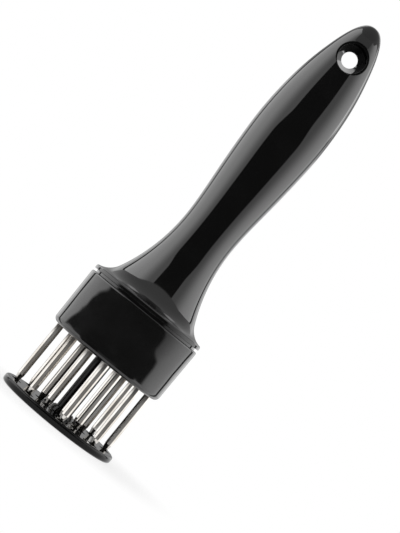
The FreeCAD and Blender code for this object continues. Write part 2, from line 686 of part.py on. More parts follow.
def cut_bayonet_slots(body):
    """L-shaped slots in the plug: a way in from its lower edge and a run along to the locked lug."""
    half_lug = f"(asin((<lug_width> / 2 + <slot_side>) / {BORE_RADIUS}))"
    locked = "90 deg"
    entry = f"({locked} + <twist_angle> * 1 deg)"
    run_top = f"({CUP_RIM} - <lug_drop> + <lug_height> + <slot_clearance>)"
    run = cut_down(body, "slot_run", wedge(
        body, "slot_run_sector", run_top, f"{locked} - {half_lug}", f"{entry} + {half_lug}",
    ), "<lug_height> + 2 * <slot_clearance>")
    way_in = cut_down(body, "slot_entry", wedge(
        body, "slot_entry_sector", run_top, f"{entry} - {half_lug}", f"{entry} + {half_lug}",
    ), f"{run_top} - {PLUG_BASE} + <slot_clearance>")
    repeat_round(body, "bayonet_slots", [run, way_in], BAYONET_LUGS)


def bind_place(item, height):
    item.setExpression("Placement.Base.z", size(height))


def make_grip():
    """Grip lofted through ellipses from the round neck to the tip."""
    neck = doc.addObject("Part::Ellipse", "neck_section")
    neck.setExpression("MajorRadius", size("<neck_diameter> / 2"))
    neck.setExpression("MinorRadius", size("<neck_diameter> / 2"))
    bind_place(neck, NECK)
    sections = [neck]
    for share, station in GRIP_STATIONS:
        section = doc.addObject("Part::Ellipse", f"{station}_section")
        section.setExpression("MajorRadius", size(f"<{station}_width> / 2"))
        section.setExpression("MinorRadius", size(f"(<{station}_width> - <{station}_flattening>) / 2"))
        bind_place(section, f"{NECK} + {share} * <grip_length>")
        sections.append(section)
    grip = doc.addObject("Part::Loft", "grip")
    grip.Sections = sections
    grip.Solid = True
    grip.Ruled = False
    return grip


def eye_side(name, turn):
    """One face's recess: a cone from the throat and a round pocket out through the surface."""
    facing = FreeCAD.Rotation(Vector(1, 0, 0), turn)
    side = "" if turn < 0 else "-"
    cone = doc.addObject("Part::Cone", f"{name}_dish")
    cone.Placement.Rotation = facing
    cone.setExpression("Radius1", size("<eye_bore> / 2"))
    cone.setExpression("Radius2", size("<eye_recess> / 2"))
    cone.setExpression("Height", size("(<eye_floor> - <eye_throat>) / 2"))
    cone.setExpression("Placement.Base.y", size(f"{side}<eye_throat> / 2"))
    bind_place(cone, EYE_HEIGHT)
    pocket = doc.addObject("Part::Cylinder", f"{name}_pocket")
    pocket.Placement.Rotation = facing
    pocket.setExpression("Radius", size("<eye_recess> / 2"))
    pocket.setExpression("Height", size("<palm_width>"))
    pocket.setExpression("Placement.Base.y", size(f"{side}<eye_floor> / 2"))
    bind_place(pocket, EYE_HEIGHT)
    return [cone, pocket]


def is_eye_rim(edge):
    """Whether an edge is where a recess of the hanging hole breaks out of the grip's surface."""
    middle = total(NECK_STACK) + sizes["grip_length"] - sizes["eye_drop"]
    on_recess = all(
        abs(math.hypot(point.x, point.z - middle) - sizes["eye_recess"] / 2) < 0.01
        for point in edge.discretize(9)
    )
    return on_recess and abs(edge.BoundBox.Center.y) > sizes["eye_floor"] / 2 + 0.01 and edge.Length > 1


def make_handle():
    """Whole handle: base and grip in one, bored for the spring, with the dished hanging hole."""
    whole = doc.addObject("Part::MultiFuse", "handle_solid")
    whole.Shapes = [make_handle_base(), make_grip()]
    bore = doc.addObject("Part::Cylinder", "spring_bore")
    bore.setExpression("Radius", size("<spring_bore> / 2"))
    bore.setExpression("Height", size(f"{SPRING_SEAT} - {TUBE_BASE} + <tube_start>"))
    bind_place(bore, f"{TUBE_BASE} - <tube_start>")
    throat = doc.addObject("Part::Cylinder", "eye_throat")
    throat.Placement.Rotation = FreeCAD.Rotation(Vector(1, 0, 0), -90)
    throat.setExpression("Radius", size("<eye_bore> / 2"))
    throat.setExpression("Height", size("<eye_throat>"))
    throat.setExpression("Placement.Base.y", size("-<eye_throat> / 2"))
    bind_place(throat, EYE_HEIGHT)
    tools = doc.addObject("Part::MultiFuse", "handle_cuts")
    tools.Shapes = [bore, throat] + eye_side("back", -90) + eye_side("front", 90)
    cut = doc.addObject("Part::Cut", "handle_cut")
    cut.Base = whole
    cut.Tool = tools
    doc.recompute()
    rims = [i for i, edge in enumerate(cut.Shape.Edges, start=1) if is_eye_rim(edge)]
    handle = doc.addObject("Part::Fillet", "handle")
    handle.Base = cut
    handle.Edges = [(i, sizes["eye_rounding"], sizes["eye_rounding"]) for i in rims]
    handle.Label = "handle"
    return handle


def write_steps(parts):
    """Check every object and every shape, then write one file for each piece."""
    doc.recompute()
    for item in doc.Objects:
        if {"Invalid", "Error"} & set(item.State):
            raise RuntimeError(f"{item.Label} failed: {item.State}")
    for part in parts:
        shape = part.Shape
        if shape.isNull() or not shape.isValid() or not shape.Solids:
            raise RuntimeError(f"{part.Label} has no valid solid")
    os.makedirs("parts", exist_ok=True)
    for part in parts:
        part.Shape.exportStep(f"parts/{part.Label}.step")
        print(f"{part.Label}: {len(part.Shape.Solids)} solid, {part.Shape.Volume:.1f} mm3")


fill_sheet()
pieces = [
    make_handle(),
    make_spring(),
    make_cup(),
    make_retainer(),
    make_retainer_screws(),
    make_guard_disc(),
    make_guard_post(),
    make_disc_screw(),
    make_stop_washer(),
    make_stop_screw(),
]
for ring_name, ring_pitch in RINGS:
    for place in range(NEEDLES_PER_RING):
        turn = 360.0 / NEEDLES_PER_RING * place
        pieces.append(make_needle(f"{ring_name}_needle_{place + 1}", ring_pitch, turn))
write_steps(pieces)
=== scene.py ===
import math

import bmesh
import bpy
import numpy as np
from mathutils import Matrix, Vector


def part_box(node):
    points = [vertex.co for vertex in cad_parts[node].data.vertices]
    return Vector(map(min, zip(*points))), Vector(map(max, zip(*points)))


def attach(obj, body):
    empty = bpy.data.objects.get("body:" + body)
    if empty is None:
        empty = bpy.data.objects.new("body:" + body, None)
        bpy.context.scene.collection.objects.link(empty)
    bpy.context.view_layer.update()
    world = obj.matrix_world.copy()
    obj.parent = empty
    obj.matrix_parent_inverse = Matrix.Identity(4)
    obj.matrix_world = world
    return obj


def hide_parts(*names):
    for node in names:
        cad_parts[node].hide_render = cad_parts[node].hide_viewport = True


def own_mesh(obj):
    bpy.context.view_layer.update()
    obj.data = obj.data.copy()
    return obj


# Needle tenderizer: black moulded handle, cup, guard disc and post, and sixteen steel needles.
# Metres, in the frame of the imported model: origin under the guard disc, +Z to the tip of the handle.

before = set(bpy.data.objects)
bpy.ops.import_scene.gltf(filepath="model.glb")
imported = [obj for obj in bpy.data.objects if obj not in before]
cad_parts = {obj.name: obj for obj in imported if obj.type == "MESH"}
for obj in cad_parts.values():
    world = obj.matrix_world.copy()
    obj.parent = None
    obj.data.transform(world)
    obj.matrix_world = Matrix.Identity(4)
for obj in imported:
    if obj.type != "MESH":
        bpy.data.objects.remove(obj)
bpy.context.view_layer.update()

MM = 0.001
handle_low, handle_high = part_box("handle")
cup_low, cup_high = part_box("cup")
disc_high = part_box("guard_disc")[1]
post_low, post_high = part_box("guard_post")
needle_low, needle_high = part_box("outer_needle_1")
inner_low, inner_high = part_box("inner_needle_1")

# Places and sizes read from the frame
TIP = handle_high.z
PLUG_BASE = handle_low.z
LIP_RADIUS = handle_high.x
CUP_BASE = cup_low.z
CUP_RADIUS = cup_high.x
GUIDE_TOP = cup_high.z
DISC_RADIUS = disc_high.x
HUB_TOP = disc_high.z
POST_RADIUS = post_high.x
POST_BASE, POST_TOP = post_low.z, post_high.z
OUTER_RING = (needle_low.x + needle_high.x) / 2
INNER_RING = (inner_low.x + inner_high.x) / 2
NEEDLE_TIP, NEEDLE_TOP = needle_low.z, needle_high.z
NEEDLE_HEAD_RADIUS = (needle_high.x - needle_low.x) / 2

# Handle below the neck
LIP_BASE = 58.1 * MM
LIP_EDGE = 1.3 * MM
LIP_CHAMFER = 0.5 * MM
NECK_RADIUS = 11.95 * MM
GRIP_LENGTH = 107.4 * MM
NECK = TIP - GRIP_LENGTH
FLARE_RADIUS = 77.0 * MM
BLEND_RADIUS = 9.5 * MM
PLUG_RADIUS = 25.3 * MM
PLUG_WALL = 2.1 * MM
SHELL_WALL = 2.6 * MM
SPRING_BORE = 6.3 * MM
SPRING_TUBE = 8.3 * MM
TUBE_BASE = 61.0 * MM
BORE_END = NECK + 32.0 * MM

# Grip stations: share of its length above the neck, half width and how much less it is front to back
GRIP_STATIONS = [
    (0.03, 12.0 * MM, 0.015 * MM),
    (0.10, 12.45 * MM, 0.05 * MM),
    (0.22, 13.65 * MM, 0.2 * MM),
    (0.35, 14.75 * MM, 0.75 * MM),
    (0.48, 15.375 * MM, 1.125 * MM),
    (0.62, 14.775 * MM, 1.5 * MM),
    (0.74, 13.1 * MM, 1.75 * MM),
    (0.85, 10.4 * MM, 1.75 * MM),
    (0.93, 7.6 * MM, 1.1 * MM),
    (0.975, 4.95 * MM, 0.6 * MM),
    (0.994, 2.75 * MM, 0.25 * MM),
]

# Hanging hole
EYE_HEIGHT = TIP - 16.7 * MM
EYE_THROAT_RADIUS = 3.4 * MM
EYE_THROAT_HALF = 0.2 * MM
EYE_RADIUS = 6.95 * MM
EYE_LEDGE_RADIUS = 6.14 * MM
EYE_LEDGE = 6.1 * MM
EYE_RIM = 0.2 * MM
EYE_RIM_DEPTH = 0.15 * MM
EYE_SLOPE_STEP = 0.05 * MM
EYE_BLOCK_LOW = EYE_HEIGHT - 9.6 * MM
EYE_BLOCK_HIGH = EYE_HEIGHT + 9.0 * MM

# Cup
CUP_RIM = 57.0 * MM
CUP_DRAFT = 0.3 * MM
CUP_BORE = 25.5 * MM
CUP_FLOOR = 3.0 * MM
CUP_FOOT_ROUNDING = 2.2 * MM
CUP_RIM_ROUNDING = 0.8 * MM
GUIDE_RADIUS = 5.58 * MM
GUIDE_BORE = 3.88 * MM

# Guard disc
DISC_THICKNESS = 3.2 * MM
DISC_ROUNDING = 1.1 * MM
HUB_FOOT_RADIUS = 5.7 * MM
HUB_TOP_RADIUS = 4.7 * MM
SOCKET_FLOOR = 2.6 * MM
HOLE_RADIUS = 2.4 * MM
HOLE_ROUNDING = 0.3 * MM
INNER_CELL_HALF = 3.2 * MM
OUTER_CELL_HALF = 3.0 * MM
SCREW_RADIUS = 1.5 * MM
RECESS_RADIUS = 3.5 * MM
RECESS_DEPTH = 1.7 * MM

# Needles
NEEDLE_HALF = 1.5 * MM
NEEDLE_EDGE = 0.09 * MM
POINT_HALF = 0.12 * MM
EDGE_LENGTH = 2.0 * MM
EDGE_HALF = 0.875 * MM
POINT_LENGTH = 5.3 * MM
HEAD_THICKNESS = 1.2 * MM
NEEDLES_PER_RING = 8

# Return spring
SPRING_WIRE = 1.2 * MM
SPRING_TURNS = 11

# Meshes
COLUMNS = 192
SECTOR_COLUMNS = COLUMNS // NEEDLES_PER_RING
SHARP_ANGLE = math.radians(34)
NEEDLE_SHARP_ANGLE = math.radians(8)
WELD = 0.002 * MM
ROD_COLUMNS = 96
WIRE_COLUMNS = 14
WIRE_ROWS_PER_TURN = 48
SPLINE_POINTS = 3000
TIGHT_ARC_POINTS = 24
LONG_ARC_POINTS = 80
HOLLOW_STEP = 4 * MM
FLARE_STEP = 0.6 * MM
GRIP_STEP = 0.8 * MM
TIP_STEP = 0.3 * MM
EYE_BLOCK_ROWS = 28
EYE_RINGS = 16
EYE_RIM_ROWS = 10
CELL_ROWS = 8
CELL_RINGS = 5


# Mesh making

def grid_faces(rows, columns):
    """Quads of a grid of points numbered row by row, its last column joined to the first."""
    row, column = np.meshgrid(np.arange(rows - 1), np.arange(columns), indexing="ij")
    after = (column + 1) % columns
    here, above = row * columns, (row + 1) * columns
    return np.stack([here + column, here + after, above + after, above + column], -1)


def sheet_of(points, keep=None):
    """Points (rows, columns, 3) and their quads; keep is a mask of the quads that stay."""
    rows, columns = points.shape[:2]
    faces = grid_faces(rows, columns)
    faces = faces[keep] if keep is not None else faces.reshape(-1, 4)
    return points.reshape(-1, 3), faces


def make_piece(name, sheets, body, node, material, sharp=SHARP_ANGLE):
    """One welded piece from several sheets; edges sharper than an angle stay crisp."""
    starts = np.cumsum([0] + [len(points) for points, faces in sheets])
    points = np.concatenate([points for points, faces in sheets])
    faces = np.concatenate([faces + start for (_, faces), start in zip(sheets, starts)])
    mesh = bpy.data.meshes.new(name)
    mesh.from_pydata(points.tolist(), [], faces.tolist())
    work = bmesh.new()
    work.from_mesh(mesh)
    bmesh.ops.remove_doubles(work, verts=work.verts, dist=WELD)
    for face in work.faces:
        face.smooth = True
    for edge in work.edges:
        edge.smooth = edge.is_manifold and edge.calc_face_angle() < sharp
    work.to_mesh(mesh)
    work.free()
    mesh.materials.append(material)
    piece = bpy.data.objects.new(name, mesh)
    bpy.context.scene.collection.objects.link(piece)
    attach(piece, body)
    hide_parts(node)
    return piece


def soften(corners, steps=7, support=0.12 * MM):
    """Outline through (radius, height, rounding) corners.

    A rounded corner becomes an arc that touches both of its sides, from one touching point to the other.
    A point on each side close to the arc keeps the flat beside it flat.
    """
    places = [np.array(corner[:2]) for corner in corners]
    outline = [places[0]]
    for before, place, after, corner in zip(places, places[1:], places[2:], corners[1:]):
        rounding = corner[2] if len(corner) > 2 else 0.0
        if not rounding:
            outline.append(place)
            continue
        way_in = (place - before) / np.linalg.norm(place - before)
        way_out = (after - place) / np.linalg.norm(after - place)
        turn = math.atan2(way_in[0] * way_out[1] - way_in[1] * way_out[0], way_in @ way_out)
        reach = rounding * math.tan(abs(turn) / 2)
        start = place - way_in * reach
        side = np.array([-way_in[1], way_in[0]]) * math.copysign(rounding, turn)
        angles = np.linspace(0, turn, steps)
        cosines, sines = np.cos(angles), np.sin(angles)
        arc = start + side - np.stack(
            [side[0] * cosines - side[1] * sines, side[0] * sines + side[1] * cosines], -1
        )
        outline += [start - way_in * support, *arc, arc[-1] + way_out * support]
    outline.append(places[-1])
    return np.array(outline)


def turned(outline, columns=COLUMNS, flattening=None):
    """Surface of revolution: (r cos u, r sin u, height) for each outline point and each angle u.

    A flattening for each outline point is taken off the radius front to back, which makes ellipses.
    """
    angle = np.linspace(0, 2 * math.pi, columns, endpoint=False)
    radius, height = outline[:, 0:1], outline[:, 1:2]
    depth = radius if flattening is None else radius - flattening[:, None]
    heights = np.broadcast_to(height, (len(outline), columns))
    return np.stack([radius * np.cos(angle), depth * np.sin(angle), heights], -1)


def spaced(line, step):
    """Points along a polyline at about equal steps, its own ends included."""
    length = np.concatenate([[0], np.cumsum(np.linalg.norm(np.diff(line, axis=0), axis=1))])
    count = max(2, round(length[-1] / step) + 1)
    at = np.linspace(0, length[-1], count)
    return np.stack([np.interp(at, length, line[:, k]) for k in range(line.shape[1])], -1)


def arc_points(centre, radius, first, last, count):
    """Points of an arc from one angle to another."""
    angle = np.linspace(first, last, count)
    return np.array(centre) + radius * np.stack([np.cos(angle), np.sin(angle)], -1)


def clamped_spline(knots, first_slope, last_slope, count):
    """Cubic spline through knots (rows), parameter by chord length, with the slopes at both ends given.

    The slopes at the inner knots solve the three-term equations that make the second derivative
    continuous.
    """
    chord = np.linalg.norm(np.diff(knots[:, :2], axis=0), axis=1)
    at = np.concatenate([[0], np.cumsum(chord)])
    size = len(knots)
    matrix, right = np.eye(size), np.zeros_like(knots)
    right[0], right[-1] = first_slope, last_slope
    for i in range(1, size - 1):
        low, high = chord[i - 1], chord[i]
        matrix[i, i - 1:i + 2] = [high, 2 * (low + high), low]
        right[i] = 3 * (high * (knots[i] - knots[i - 1]) / low + low * (knots[i + 1] - knots[i]) / high)
    slopes = np.linalg.solve(matrix, right)
    where = np.linspace(0, at[-1], count)
    piece = np.clip(np.searchsorted(at, where, side="right") - 1, 0, size - 2)
    width = chord[piece][:, None]
    t = ((where - at[piece]) / chord[piece])[:, None]
    return (
        (2 * t ** 3 - 3 * t ** 2 + 1) * knots[piece]
        + (t ** 3 - 2 * t ** 2 + t) * width * slopes[piece]
        + (3 * t ** 2 - 2 * t ** 3) * knots[piece + 1]
        + (t ** 3 - t ** 2) * width * slopes[piece + 1]
    )


def towards(border, rim, count):
    """Rings that morph a border loop into a rim loop in even steps, both ends included."""
    share = np.linspace(0, 1, count)[:, None, None]
    return border * (1 - share) + rim * share


# Handle

def flare_outline():
    """Two tangent arcs from the lip up to the neck, as (radius, height) points.

    The long arc stands upright at the neck. The tight arc touches it from inside and ends on the lip.
    """
    lip = np.array([LIP_RADIUS - LIP_CHAMFER, LIP_BASE + LIP_EDGE + LIP_CHAMFER])
    long_centre = np.array([NECK_RADIUS + FLARE_RADIUS, NECK])
    reach = FLARE_RADIUS - BLEND_RADIUS
    across = lip - long_centre
    distance = np.linalg.norm(across)
    along = (reach ** 2 - BLEND_RADIUS ** 2 + distance ** 2) / (2 * distance)
    aside = math.sqrt(reach ** 2 - along ** 2)
    unit = across / distance
    tight_centre = long_centre + unit * along + np.array([unit[1], -unit[0]]) * aside
    meeting = long_centre + (tight_centre - long_centre) / reach * FLARE_RADIUS
    lip_angle = math.atan2(*(lip - tight_centre)[::-1]) % (2 * math.pi)
    meeting_angle = math.atan2(*(meeting - tight_centre)[::-1]) % (2 * math.pi)
    tight = arc_points(tight_centre, BLEND_RADIUS, lip_angle, meeting_angle, TIGHT_ARC_POINTS)
    long_arc = arc_points(long_centre, FLARE_RADIUS, meeting_angle, math.pi, LONG_ARC_POINTS)
    return np.concatenate([tight, long_arc[1:]])


def grip_line():
    """Spline of (height, half width, half width less flattening) from the neck over the tip."""
    knots = [(NECK, NECK_RADIUS, NECK_RADIUS)]
    knots += [(NECK + share * GRIP_LENGTH, wide, wide - less) for share, wide, less in GRIP_STATIONS]
    knots.append((TIP, 0.0, 0.0))
    return clamped_spline(np.array(knots), [1, 0, 0], [0, -1, -0.9], SPLINE_POINTS)


GRIP = grip_line()


def grip_half_sizes(height):
    """Half width and half depth of the grip at a height."""
    rising = GRIP[:, 0]
    return np.interp(height, rising, GRIP[:, 1]), np.interp(height, rising, GRIP[:, 2])


def grip_front(x, height):
    """How far the grip's surface stands off its middle plane.

    That is its half depth times the square root of 1 - (x / half width)^2.
    """
    wide, deep = grip_half_sizes(height)
    return deep * np.sqrt(np.clip(1 - (x / wide) ** 2, 0, 1))


def eye_side(half_columns, rows):
    """One face of the hanging hole, from a rectangle of the grip's grid to the middle of the throat.

    Rings morph from the rectangle's border to a circle on the surface, bend over the rim as a quadratic
    curve whose control point is where the surface's tangent meets the recess wall, and then follow the
    ledge and the cone of the recess and the throat, which are the same all round.
    """
    step = 2 * math.pi / COLUMNS
    across = np.arange(-half_columns, half_columns + 1) * step
    up = np.linspace(EYE_BLOCK_LOW, EYE_BLOCK_HIGH, rows + 1)
    turns = np.concatenate([
        across[:-1], np.full(rows, across[-1]), across[:0:-1], np.full(rows, across[0]),
    ])
    heights = np.concatenate([
        np.full(2 * half_columns, up[0]), up[:-1], np.full(2 * half_columns, up[-1]), up[:0:-1],
    ])
    border = np.stack([grip_half_sizes(heights)[0] * np.sin(turns), heights - EYE_HEIGHT], -1)
    angle = np.arctan2(border[:, 1], border[:, 0])
    round_it = np.stack([np.cos(angle), np.sin(angle)], -1)

    def surface(radius):
        place = radius * round_it
        return grip_front(place[:, 0], place[:, 1] + EYE_HEIGHT)

    flat = towards(border, (EYE_RADIUS + EYE_RIM) * round_it, EYE_RINGS)
    rings = [flat[..., 0], flat[..., 1], grip_front(flat[..., 0], flat[..., 1] + EYE_HEIGHT)]
    start = surface(EYE_RADIUS + EYE_RIM)
    further = surface(EYE_RADIUS + EYE_RIM + EYE_SLOPE_STEP)
    nearer = surface(EYE_RADIUS + EYE_RIM - EYE_SLOPE_STEP)
    slope = (further - nearer) / (2 * EYE_SLOPE_STEP)
    corner = start - slope * EYE_RIM
    share = np.linspace(0, 1, EYE_RIM_ROWS + 1)[1:, None]
    rim_radius = EYE_RADIUS + EYE_RIM * (1 - share) ** 2
    wall = corner - EYE_RIM_DEPTH
    rim_depth = start * (1 - share) ** 2 + corner * 2 * share * (1 - share) + wall * share ** 2
    recess = soften([
        (EYE_RADIUS, EYE_LEDGE + 0.05 * MM),
        (EYE_RADIUS, EYE_LEDGE),
        (EYE_LEDGE_RADIUS, EYE_LEDGE, 0.1 * MM),
        (EYE_THROAT_RADIUS, EYE_THROAT_HALF, 0.3 * MM),
        (EYE_THROAT_RADIUS, 0.0),
    ], support=0.05 * MM)
    radii = np.concatenate([
        np.broadcast_to(rim_radius, (EYE_RIM_ROWS, len(angle))),
        np.broadcast_to(recess[:, 0:1], (len(recess), len(angle))),
    ])
    depths = np.concatenate([rim_depth, np.broadcast_to(recess[:, 1:2], (len(recess), len(angle)))])
    x = np.concatenate([rings[0], radii * round_it[:, 0]])
    height = np.concatenate([rings[1], radii * round_it[:, 1]]) + EYE_HEIGHT
    depth = np.concatenate([rings[2], depths])
    return np.stack([x, -depth, height], -1)


def build_handle(material):
    """Handle: from the end of the spring's bore, down and round the plug, and up to the tip."""
    inside = PLUG_RADIUS - PLUG_WALL
    hollow = spaced(flare_outline(), HOLLOW_STEP)[4:-2] - np.array([SHELL_WALL, 0])
    low = soften([
        (0.0, BORE_END),
        (SPRING_BORE, BORE_END, 0.4 * MM),
        (SPRING_BORE, TUBE_BASE, 0.2 * MM),
        (SPRING_TUBE, TUBE_BASE, 0.2 * MM),
        (SPRING_TUBE, hollow[-1][1] + 1 * MM, 0.8 * MM),
        *[tuple(place) for place in hollow[::-1]],
        (inside, LIP_BASE - SHELL_WALL / 2),
        (inside, PLUG_BASE, 0.3 * MM),
        (PLUG_RADIUS, PLUG_BASE, 0.3 * MM),
        (PLUG_RADIUS, LIP_BASE, 0.1 * MM),
        (LIP_RADIUS, LIP_BASE, 0.15 * MM),
        (LIP_RADIUS, LIP_BASE + LIP_EDGE, 0.15 * MM),
        (LIP_RADIUS - LIP_CHAMFER, LIP_BASE + LIP_EDGE + LIP_CHAMFER),
    ], steps=5, support=0.04 * MM)
    flare = spaced(flare_outline(), FLARE_STEP)
    base = np.concatenate([low[:-1], flare])
    line = GRIP[:, [1, 0, 2]]
    below = line[line[:, 1] < EYE_BLOCK_LOW]
    above = line[line[:, 1] > EYE_BLOCK_HIGH]
    heights = np.linspace(EYE_BLOCK_LOW, EYE_BLOCK_HIGH, EYE_BLOCK_ROWS + 1)
    wide, deep = grip_half_sizes(heights)
    block = np.stack([wide, heights, deep], -1)
    grip = np.concatenate([
        spaced(np.concatenate([below, block[:1]]), GRIP_STEP)[:-1],
        block,
        spaced(np.concatenate([block[-1:], above]), TIP_STEP)[1:],
    ])
    shaft = turned(base)
    crown = turned(grip[:, :2], flattening=grip[:, 0] - grip[:, 2])
    half_columns = COLUMNS // 6
    first = int(np.argmin(abs(grip[:, 1] - EYE_BLOCK_LOW)))
    keep = np.ones((len(grip) - 1, COLUMNS), bool)
    for middle in (COLUMNS // 4, 3 * COLUMNS // 4):
        keep[first:first + EYE_BLOCK_ROWS, middle - half_columns:middle + half_columns] = False
    front = eye_side(half_columns, EYE_BLOCK_ROWS)
    back = front * np.array([-1, -1, 1])
    make_piece(
        "handle_moulding",
        [sheet_of(shaft), sheet_of(crown, keep=keep), sheet_of(front), sheet_of(back)],
        "handle", "handle", material,
    )


# Cup

def build_cup(material):
    """Cup: one closed outline turned about the axis, wall, floor and guide tube."""
    outline = soften([
        (GUIDE_BORE, (CUP_BASE + GUIDE_TOP) / 2),
        (GUIDE_BORE, CUP_BASE, 0.3 * MM),
        (CUP_RADIUS - CUP_DRAFT, CUP_BASE, CUP_FOOT_ROUNDING),
        (CUP_RADIUS, CUP_RIM, CUP_RIM_ROUNDING),
        (CUP_BORE, CUP_RIM, 0.25 * MM),
        (CUP_BORE, CUP_BASE + CUP_FLOOR, 0.5 * MM),
        (GUIDE_RADIUS, CUP_BASE + CUP_FLOOR, 0.5 * MM),
        (GUIDE_RADIUS, GUIDE_TOP, 0.25 * MM),
        (GUIDE_BORE, GUIDE_TOP, 0.25 * MM),
        (GUIDE_BORE, (CUP_BASE + GUIDE_TOP) / 2),
    ], steps=9)
    make_piece(
        "cup_moulding", [sheet_of(turned(outline))], "head", "cup", material
    )


# Guard disc

def cell_border(low, high, rows):
    """Border of one sector's cell between two radii, anticlockwise seen from above, as (x, y) points."""
    half = math.pi / NEEDLES_PER_RING
    angle = np.linspace(-half, half, SECTOR_COLUMNS + 1)
    radius = np.linspace(low, high, rows + 1)
    radii = np.concatenate([
        radius[:-1], np.full(SECTOR_COLUMNS, high), radius[:0:-1], np.full(SECTOR_COLUMNS, low),
    ])
    angles = np.concatenate([
        np.full(rows, -half), angle[:-1], np.full(rows, half), angle[:0:-1],
    ])
    return np.stack([radii * np.cos(angles), radii * np.sin(angles)], -1)


def hole_cells(pitch, low, high):
    """Cells of all sectors, each with a round hole.

    Rows run over the top face, its rounded edge, the wall, the lower rounded edge and the underside.
    """
    border = cell_border(low, high, CELL_ROWS)
    centre = np.array([pitch, 0])
    angle = np.arctan2(border[:, 1], border[:, 0] - pitch)
    round_it = np.stack([np.cos(angle), np.sin(angle)], -1)
    middle = DISC_THICKNESS / 2
    edge = soften([
        (HOLE_RADIUS + 2 * HOLE_ROUNDING, DISC_THICKNESS),
        (HOLE_RADIUS, DISC_THICKNESS, HOLE_ROUNDING),
        (HOLE_RADIUS, middle),
    ], steps=6)
    wall = np.concatenate([edge, edge[-2::-1] * np.array([1, -1]) + np.array([0, DISC_THICKNESS])])
    flat = towards(border, centre + wall[0, 0] * round_it, CELL_RINGS + 1)[:-1]
    rings = centre + wall[:, 0, None, None] * round_it
    plan = np.concatenate([flat, rings, flat[::-1]])
    height = np.concatenate([np.full(CELL_RINGS, DISC_THICKNESS), wall[:, 1], np.zeros(CELL_RINGS)])
    heights = np.broadcast_to(height[:, None, None], (len(plan), len(border), 1))
    cell = np.concatenate([plan, heights], -1)
    sheets = []
    for number in range(NEEDLES_PER_RING):
        turn = number * 2 * math.pi / NEEDLES_PER_RING
        cosine, sine = math.cos(turn), math.sin(turn)
        sheets.append(sheet_of(cell @ np.array([[cosine, sine, 0], [-sine, cosine, 0], [0, 0, 1]])))
    return sheets


def build_guard_disc(material):
    """Guard disc: turned hub, bands and rim, with a cell round every needle hole."""
    inner_cell = (INNER_RING - INNER_CELL_HALF, INNER_RING + INNER_CELL_HALF)
    outer_cell = (OUTER_RING - OUTER_CELL_HALF, OUTER_RING + OUTER_CELL_HALF)
    hub = soften([
        (inner_cell[0], DISC_THICKNESS),
        (HUB_FOOT_RADIUS, DISC_THICKNESS, 0.5 * MM),
        (HUB_TOP_RADIUS, HUB_TOP, 0.3 * MM),
        (POST_RADIUS, HUB_TOP),
        (POST_RADIUS, SOCKET_FLOOR),
        (SCREW_RADIUS, SOCKET_FLOOR),
        (SCREW_RADIUS, RECESS_DEPTH),
        (RECESS_RADIUS, RECESS_DEPTH),
        (RECESS_RADIUS, 0.0, 0.3 * MM),
        (inner_cell[0], 0.0),
    ])
    top_band = np.array([(outer_cell[0], DISC_THICKNESS), (inner_cell[1], DISC_THICKNESS)])
    low_band = np.array([(inner_cell[1], 0.0), (outer_cell[0], 0.0)])
    rim = soften([
        (outer_cell[1], 0.0),
        (DISC_RADIUS, 0.0, DISC_ROUNDING),
        (DISC_RADIUS, DISC_THICKNESS, DISC_ROUNDING),
        (outer_cell[1], DISC_THICKNESS),
    ], steps=12)
    sheets = [sheet_of(turned(outline)) for outline in (hub, top_band, low_band, rim)]
    sheets += hole_cells(INNER_RING, *inner_cell) + hole_cells(OUTER_RING, *outer_cell)
    make_piece("guard_disc_moulding", sheets, "guard", "guard_disc", material)


# Post

def build_post(material):
    """Central post: a plain turned rod with eased ends."""
    outline = soften([
        (0.0, POST_BASE),
        (POST_RADIUS, POST_BASE, 0.3 * MM),
        (POST_RADIUS, POST_TOP, 0.3 * MM),
        (0.0, POST_TOP),
    ])
    sheets = [sheet_of(turned(outline, ROD_COLUMNS))]
    make_piece("post_rod", sheets, "guard", "guard_post", material)


# Needles

def octagon_ring(half, edge):
    """Octagon with eased corners, half across its flats, flats towards X and Y, as 16 (x, y) points."""
    reach = half * math.tan(math.pi / 8)
    cut = min(edge, reach * 0.6)
    along = reach - cut
    corners = []
    for number in range(8):
        normal = number * math.pi / 4
        for side in (-along, along):
            corners.append((
                half * math.cos(normal) - side * math.sin(normal),
                half * math.sin(normal) + side * math.cos(normal),
            ))
    return corners


def needle_points(place):
    """Needle at a place: octagons from the point to the neck, then a round upset head."""
    seat = NEEDLE_TOP - HEAD_THICKNESS
    stages = [
        (NEEDLE_TIP, POINT_HALF, 0.02 * MM),
        (NEEDLE_TIP + EDGE_LENGTH, EDGE_HALF, 0.05 * MM),
        (NEEDLE_TIP + POINT_LENGTH, NEEDLE_HALF, NEEDLE_EDGE),
        (seat, NEEDLE_HALF, NEEDLE_EDGE),
    ]
    rings = [np.array(octagon_ring(half, edge)) for height, half, edge in stages]
    angle = np.arctan2(rings[-1][:, 1], rings[-1][:, 0])
    head = NEEDLE_HEAD_RADIUS * np.stack([np.cos(angle), np.sin(angle)], -1)
    rings = [rings[0] * 0, *rings, head, head, head * 0]
    heights = [NEEDLE_TIP, *[stage[0] for stage in stages], seat, NEEDLE_TOP, NEEDLE_TOP]
    plan = np.stack(rings) + np.array(place)
    height = np.broadcast_to(np.array(heights)[:, None, None], (len(heights), plan.shape[1], 1))
    return np.concatenate([plan, height], -1)


def build_needles(material):
    """All needles, eight round each ring."""
    for ring, pitch in (("outer", OUTER_RING), ("inner", INNER_RING)):
        for number in range(NEEDLES_PER_RING):
            angle = number * 2 * math.pi / NEEDLES_PER_RING
            place = (pitch * math.cos(angle), pitch * math.sin(angle))
            node = f"{ring}_needle_{number + 1}"
            make_piece(
                f"{node}_steel", [sheet_of(needle_points(place))],
                "head", node, material, sharp=NEEDLE_SHARP_ANGLE,
            )


# Return spring

